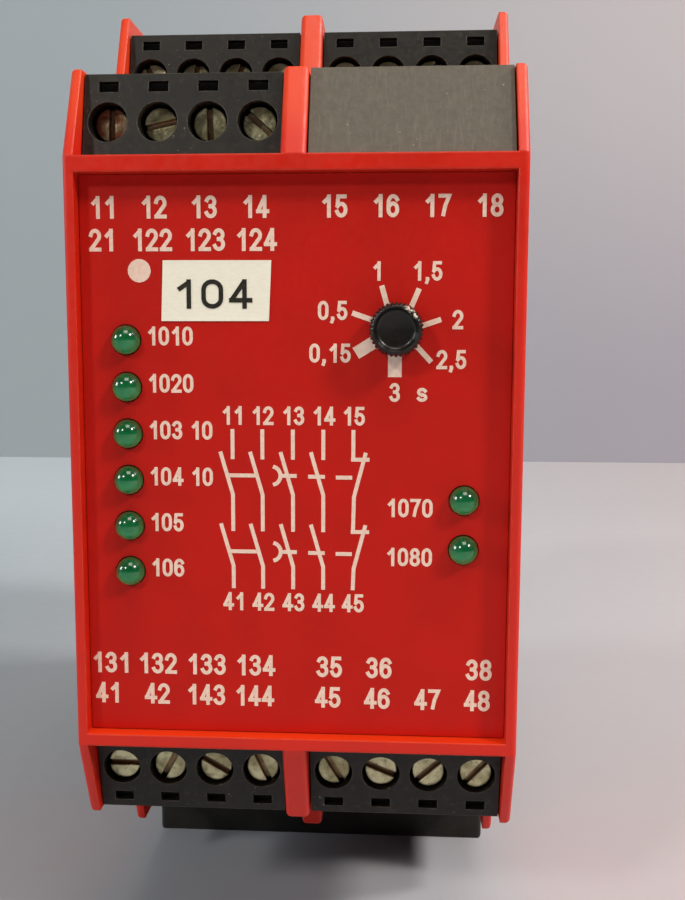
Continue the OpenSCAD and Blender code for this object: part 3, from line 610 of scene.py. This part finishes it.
def lamp_numbers():
    """A number beside each lamp, towards the middle of the face."""
    marks = Print(LABEL_FRONT)
    for i, text in enumerate(LAMP_NUMBERS, 1):
        low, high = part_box(f"lamp_{i}")
        middle = ((low + high) / 2 - FACE) / MM
        right = middle.x > 0
        x = middle.x + LAMP_NUMBER_GAP[right]
        z = middle.z - LAMP_NUMBER_DROP[right]
        marks.number(text, x, z, SMALL_CAP, align=1 if right else 0)
    return marks.piece("print_lamp_numbers", PRINT_CREAM)


DIAL_X = (DIAL_LOW.x + DIAL_HIGH.x) / 2 / MM
DIAL_Z = ((DIAL_LOW.z + DIAL_HIGH.z) / 2 - FACE.z) / MM
# Numbers of the scale, with their middles and baselines, and the ends and width of their
# marks, all measured from the middle of the dial
DIAL_SCALE = [
    ("0,15", (-6.5, -3.25), (-2.2, -1.25), (-3.95, -2.33), 1.25),
    ("0,5", (-6.25, 0.92), (-2.4, 0.95), (-4.33, 1.62), 0.52),
    ("1", (-1.9, 4.73), (-0.9, 2.3), (-1.45, 4.27), 0.52),
    ("1,5", (2.98, 4.73), (1.45, 2.2), (2.2, 3.98), 0.52),
    ("2", (6.0, 0.04), (2.4, 0.33), (4.37, 1.0), 0.52),
    ("2,5", (5.43, -3.85), (2.0, -1.6), (3.46, -3.16), 0.52),
    ("3", (-0.1, -7.1), (-0.1, -2.4), (-0.1, -4.65), 1.35),
]
# Place of the letter after the scale's last number, for seconds
DIAL_UNIT = (2.6, -7.1)


def dial_scale():
    """The scale round the dial."""
    marks = Print(LABEL_FRONT)
    for text, (x, z), start, end, width in DIAL_SCALE:
        marks.path([(DIAL_X + px, DIAL_Z + pz) for px, pz in (start, end)], width)
        marks.number(text, DIAL_X + x, DIAL_Z + z, SMALL_CAP)
    marks.number("s", DIAL_X + DIAL_UNIT[0], DIAL_Z + DIAL_UNIT[1], SMALL_CAP)
    return marks.piece("print_dial_scale", PRINT_CREAM)


# The contact diagram: five contacts side by side, each broken twice. The last is closed.
CONTACTS_X = [-6.28, -3.27, -0.2, 2.85, 5.85]
CONTACT_NUMBERS = (["11", "12", "13", "14", "15"], ["41", "42", "43", "44", "45"])
NUMBERS_Z = (3.52, -15.5)
NUMBERS_ASIDE = 0.02
# Ends of the leads, the step from the first break to the second, and heights of the links
LEAD_TOP = 3.09
LEAD_END = 0.06
STAGE_DROP = 7.33
STAGE_ENDS = (-7.27, -13.2)
LINKS_Z = (-1.58, -9.36)
# From the top of a break: a blade's tip, how low it meets its lead when open, where it does so
# when closed, and the start, end and height of the foot that the closed one rests on
BLADE_TIP = (1.25, 0.82)
OPEN_HEEL = -3.53
CLOSED_HEEL = (0.08, -3.66)
FOOT = (-0.22, 1.62, 0.12)
# From the contact that a link touches: its start and end, and how far it lies below the first
PAIR_LINK = (-0.52, -0.55)
DELAY_LINK = (-1.3, 0.38)
SINGLE_LINK = (-1.52, 0.16, 0.06)
CLOSED_LINK = (-1.74, -0.1, 0.12)
# The arc of the delayed contact: its middle from the contact, its radius and half its turn
DELAY_ARC = (-2.2, 0.95, 78)


def open_contact(marks, x, top, end):
    """A contact that stands open: a leaning blade on its lower lead."""
    tip_x, tip_z = BLADE_TIP
    marks.path([(x - tip_x, top + tip_z), (x, top + OPEN_HEEL), (x, end)])


def closed_contact(marks, x, top, end):
    """A contact that stands closed: a foot on its upper lead and a blade that rests on it."""
    foot_start, foot_end, foot_z = FOOT
    marks.path([(x + foot_start, top + foot_z), (x + foot_end, top + foot_z)])
    tip, heel = [(x + px, top + pz) for px, pz in (BLADE_TIP, CLOSED_HEEL)]
    marks.path([tip, heel, (x, end)])


def link(marks, x, z, start, end, drop=0.0):
    """A dash of the drive that links the contacts, level with z or a drop below it."""
    marks.path([(x + start, z - drop), (x + end, z - drop)])


def contact_diagram():
    """The diagram of the contacts and the drive that links them."""
    marks = Print(LABEL_FRONT)
    first, second, delayed, single, closed = CONTACTS_X
    for x in CONTACTS_X:
        marks.path([(x, LEAD_TOP), (x, LEAD_END)])
    aside, radius, turn = DELAY_ARC
    for stage, (z, end) in enumerate(zip(LINKS_Z, STAGE_ENDS)):
        top = -stage * STAGE_DROP
        for x in CONTACTS_X[:-1]:
            open_contact(marks, x, top, end)
        closed_contact(marks, closed, top, end)
        marks.path([(first + PAIR_LINK[0], z), (second + PAIR_LINK[1], z)])
        marks.path(arc((delayed + aside, z), (radius, radius), -turn, turn))
        link(marks, delayed, z, *DELAY_LINK)
        link(marks, single, z, *SINGLE_LINK)
        link(marks, closed, z, *CLOSED_LINK)
    for numbers, z in zip(CONTACT_NUMBERS, NUMBERS_Z):
        for x, text in zip(CONTACTS_X, numbers):
            marks.number(text, x + NUMBERS_ASIDE, z, SMALL_CAP)
    return marks.piece("print_contact_diagram", PRINT_CREAM)


# Middle and radius of the round mark
DOT = (-15.43, 18.75, 1.15)


def label_dot():
    """The round mark, left bare."""
    marks = Print(LABEL_FRONT)
    marks.disc(*DOT)
    return marks.piece("print_dot", PRINT_CREAM)


# The paper tag was cut by hand, so its corners are not quite square
TAG_CORNERS = [(-13.28, 13.81), (-2.54, 13.82), (-2.28, 19.74), (-13.05, 19.76)]
TAG_GRID = 12
TAG_THICKNESS = 0.05
# How far the paper's front lies from the label (0) towards the front of the CAD tag (1), how much
# further its edges lift, and how sharply they do so
TAG_FLAT = 0.6
TAG_LIFT = 0.3
TAG_CURL = 8
# The number on the tag: the place of its middle and baseline, its height, and its digits' width,
# gap and stroke
TAG_NUMBER = (-8.15, 15.03, 2.87)
TAG_DIGITS = {"width": 0.76, "gap": 0.2, "stroke": 0.45}


def paper_tag():
    """The tag as a sheet of paper whose edges lift a little from the label."""
    low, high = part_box("paper_tag")
    corners = [FACE + Vector((x, 0, z)) * MM for x, z in TAG_CORNERS]
    shares = [i / TAG_GRID for i in range(TAG_GRID + 1)]
    points = []
    for v in shares:
        for u in shares:
            point = corners[0].lerp(corners[1], u).lerp(corners[3].lerp(corners[2], u), v)
            edge = max(abs(2 * u - 1), abs(2 * v - 1)) ** TAG_CURL
            point.y = high.y - (high.y - low.y) * (TAG_FLAT + TAG_LIFT * edge)
            points.append(point)
    faces = grid_faces(TAG_GRID + 1, TAG_GRID + 1)
    made = mesh_piece("label_tag", points, faces, FINISHES["tag_paper"])
    thicken(made, TAG_THICKNESS, offset=-1)
    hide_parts("paper_tag")
    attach(made, "housing")


def tag_number():
    """The number typed on the paper tag, level with the front of the CAD tag."""
    low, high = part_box("paper_tag")
    marks = Print(low.y + INK_THICKNESS * MM)
    marks.number("104", *TAG_NUMBER, **TAG_DIGITS)
    return marks.piece("tag_number", INK_BLACK)


# ---- Dial ----

DIAL_KNURLS = 36
STEPS_A_KNURL = 6
# How deep the knurls are, how wide the bevel and the rim are, and how deep and wide the dish is
DIAL_GRIP = 0.16
DIAL_BEVEL = 0.42
DIAL_RIM = 0.14
DIAL_DISH = 0.75
DIAL_DISH_WALL = 0.5
# Gap between the dial and the label, radius of the spindle, and depth of the dish's lip
DIAL_GAP = 0.25
SPINDLE_RADIUS = 2.0
DISH_LIP = 0.04


def dial_rings():
    """Radius, depth behind the front, and share of the knurls' depth of each ring of the dial."""
    radius = (DIAL_HIGH.x - DIAL_LOW.x) / 2 / MM
    back = (DIAL_HIGH.y - DIAL_LOW.y) / MM
    foot = (LABEL_FRONT - DIAL_LOW.y) / MM - DIAL_GAP
    rim = radius - DIAL_BEVEL
    dish = rim - DIAL_RIM
    rings = [
        # the spindle and the back of the dial
        (SPINDLE_RADIUS, back, 0), (SPINDLE_RADIUS, foot, 0),
        # the knurled side
        (radius - 0.1, foot, 0.5), (radius, foot - 0.12, 1), (radius, DIAL_BEVEL + 0.25, 1),
        # the bevel and the flat rim
        (radius - 0.06, DIAL_BEVEL, 1), (rim + 0.16, 0.14, 0.45), (rim + 0.02, 0.02, 0),
        (dish + 0.04, 0, 0), (dish, DISH_LIP, 0),
    ]
    for turn in (15, 35, 55, 75, 90):
        inward, down = 1 - math.cos(math.radians(turn)), math.sin(math.radians(turn))
        rings.append((dish - DIAL_DISH_WALL * inward, DISH_LIP + DIAL_DISH * down, 0))
    return rings + [(0.1, DIAL_DISH + 0.12, 0)]


def dial():
    """The knurled dial: a bevelled rim round a smooth dish, on its spindle."""
    rings = dial_rings()
    sides = DIAL_KNURLS * STEPS_A_KNURL
    points = []
    for size, depth, share in rings:
        for i in range(sides):
            turn = math.tau * i / sides
            groove = DIAL_GRIP * share * (0.5 - 0.5 * math.cos(turn * DIAL_KNURLS)) ** 2
            x = DIAL_X + (size - groove) * math.sin(turn)
            z = DIAL_Z - (size - groove) * math.cos(turn)
            points.append((x * MM, DIAL_LOW.y + depth * MM, FACE.z + z * MM))
    faces = tube_faces(len(rings), sides)
    made = mesh_piece("dial_knob", points, faces, FINISHES["dial_black"], smooth=True)
    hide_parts("time_dial")
    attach(made, "dial")


# ---- Latch spring ----

SPRING_TURNS = 8
SPRING_WIRE = 0.4
STEPS_A_TURN = 24
WIRE_SIDES = 10


def latch_coil():
    """The coil spring of the rail latch. The real spring shortens as the latch is drawn down on
    it; this coil keeps its length.
    """
    low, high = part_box("latch_spring")
    middle = (low + high) / 2
    wire = SPRING_WIRE * MM / 2
    radius = (high.x - low.x) / 2 - wire
    steps = STEPS_A_TURN * SPRING_TURNS
    rise = high.z - low.z - 2 * wire
    points = []
    for i in range(steps + 1):
        turn = math.tau * SPRING_TURNS * i / steps
        for j in range(WIRE_SIDES):
            around = -math.tau * j / WIRE_SIDES
            out = radius + wire * math.cos(around)
            z = low.z + wire + rise * i / steps + wire * math.sin(around)
            points.append((middle.x + out * math.cos(turn), middle.y + out * math.sin(turn), z))
    faces = tube_faces(steps + 1, WIRE_SIDES)
    made = mesh_piece("latch_coil", points, faces, FINISHES["spring_steel"], smooth=True)
    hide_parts("latch_spring")
    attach(made, "housing")
    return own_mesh(made)


terminal_numbers()
lamp_numbers()
dial_scale()
contact_diagram()
label_dot()
paper_tag()
tag_number()
dial()
latch_coil()


# ---- Studio ----

# Where the floor meets the wall, half the width of both, and the height of the wall, in metres
FLOOR_END = 0.418
FLOOR_HALF = 1.6
WALL_HEIGHT = 1.4
# Tones of the floor and the wall: near and far, or low and high, on the left, then on the right.
# They paint light and shade: a painted shadow on the near left of the floor, and painted light on
# its near right and on the right of the wall, most near the wall's top.
FLOOR_TONES = [
    (tone(140, 152, 160), tone(168, 177, 184)),
    (tone(196, 187, 190), tone(174, 167, 170)),
]
WALL_TONES = [
    (tone(156, 163, 168), tone(158, 167, 173)),
    (tone(166, 162, 172), tone(192, 186, 190)),
]
# Where these tones start and end, in metres
SIDE_RUN = (-0.2, 0.2)
FLOOR_RUN = (0.05, 0.3)
WALL_RUN = (0.02, 0.24)
WORLD_LIGHT = 0.04
WORLD_COLOUR = (0.95, 0.98, 1, 1)


def sheet(name, corners, finish):
    """A flat piece of the studio."""
    made = mesh_piece(name, corners, [[0, 1, 2, 3]], finish)
    return made


def shaded_stage(name, axis, run, tones):
    """A matt surface whose tone changes from left to right, and along an axis over a run, which
    paints light and shade on it.
    """
    f = Finish(name, Specular_IOR_Level=0.15)
    across = f.fade(f.coordinate("X"), *SIDE_RUN)
    along = f.fade(f.coordinate(axis), *run)
    left, right = [f.mix(along, *pair) for pair in tones]
    f.use("Base Color", f.mix(across, left, right))
    return f.use("Roughness", f.fade(f.noise(4), 0.3, 0.7, 0.6, 0.7))


def studio():
    """The floor, the wall behind it and a faint even light."""
    w, end, top = FLOOR_HALF, FLOOR_END, WALL_HEIGHT
    sheet("floor", [(-w, -w, 0), (w, -w, 0), (w, end, 0), (-w, end, 0)],
          shaded_stage("floor", "Y", FLOOR_RUN, FLOOR_TONES))
    sheet("backdrop", [(-w, end, 0), (w, end, 0), (w, end, top), (-w, end, top)],
          shaded_stage("backdrop", "Z", WALL_RUN, WALL_TONES))
    world = bpy.data.worlds.new("studio")
    world.use_nodes = True
    background = world.node_tree.nodes["Background"]
    background.inputs["Color"].default_value = WORLD_COLOUR
    background.inputs["Strength"].default_value = WORLD_LIGHT
    bpy.context.scene.world = world


# name, direction from the object, distance and size in metres, strength at the object, colour
LAMPS = [
    ("key", (0.65, -0.39, 0.66), 3.0, 0.45, 0.54, (1, 0.95, 0.88)),
    ("overhead", (0.85, 0.03, 0.8), 3.0, 0.45, 0.5, (1, 0.97, 0.95)),
    ("second", (-0.45, -0.64, 0.5), 3.0, 0.35, 0.26, (1, 0.96, 0.9)),
    ("ceiling", (0.1, -0.42, 1.1), 3.0, 1.3, 0.34, (1, 0.93, 0.8)),
    ("window", (-0.95, -0.2, 0.32), 3.0, 0.8, 0.4, (0.86, 0.95, 1)),
]


def lights():
    """Soft square lamps. Strength 1 shows a white surface that faces the lamp as white."""
    for name, direction, distance, size, strength, colour in LAMPS:
        lamp = bpy.data.lights.new(name, "AREA")
        lamp.size = size
        lamp.energy = strength * math.pi ** 2 * distance ** 2
        lamp.color = colour
        holder = bpy.data.objects.new(name, lamp)
        holder.location = FACE + Vector(direction).normalized() * distance
        holder.rotation_euler = Vector(direction).to_track_quat("Z", "Y").to_euler()
        bpy.context.scene.collection.objects.link(holder)


# The camera stands close in front of the face, a little to the right and above its middle. Its
# turns are in degrees: how far it looks down and to the left, and how far it leans
CAMERA_PLACE = (9.8, -103.64, 12.82)
CAMERA_DOWN = 6.963
CAMERA_LEFT = 3.699
CAMERA_ROLL = -0.084
CAMERA_LENS = 42.5
CAMERA_SENSOR = 36
CAMERA_SHIFT = (0.0195, 0.0124)
CAMERA_NEAR = 0.005


def camera():
    """The camera of the main view."""
    made = bpy.data.cameras.new("camera")
    made.lens = CAMERA_LENS
    made.sensor_width = CAMERA_SENSOR
    made.shift_x, made.shift_y = CAMERA_SHIFT
    made.clip_start = CAMERA_NEAR
    holder = bpy.data.objects.new("camera", made)
    holder.location = FACE + Vector(CAMERA_PLACE) * MM
    holder.rotation_euler = [math.radians(a) for a in (90 - CAMERA_DOWN, CAMERA_ROLL, CAMERA_LEFT)]
    bpy.context.scene.collection.objects.link(holder)
    bpy.context.scene.camera = holder


studio()
lights()
camera()
bpy.context.scene.view_settings.view_transform = "Standard"
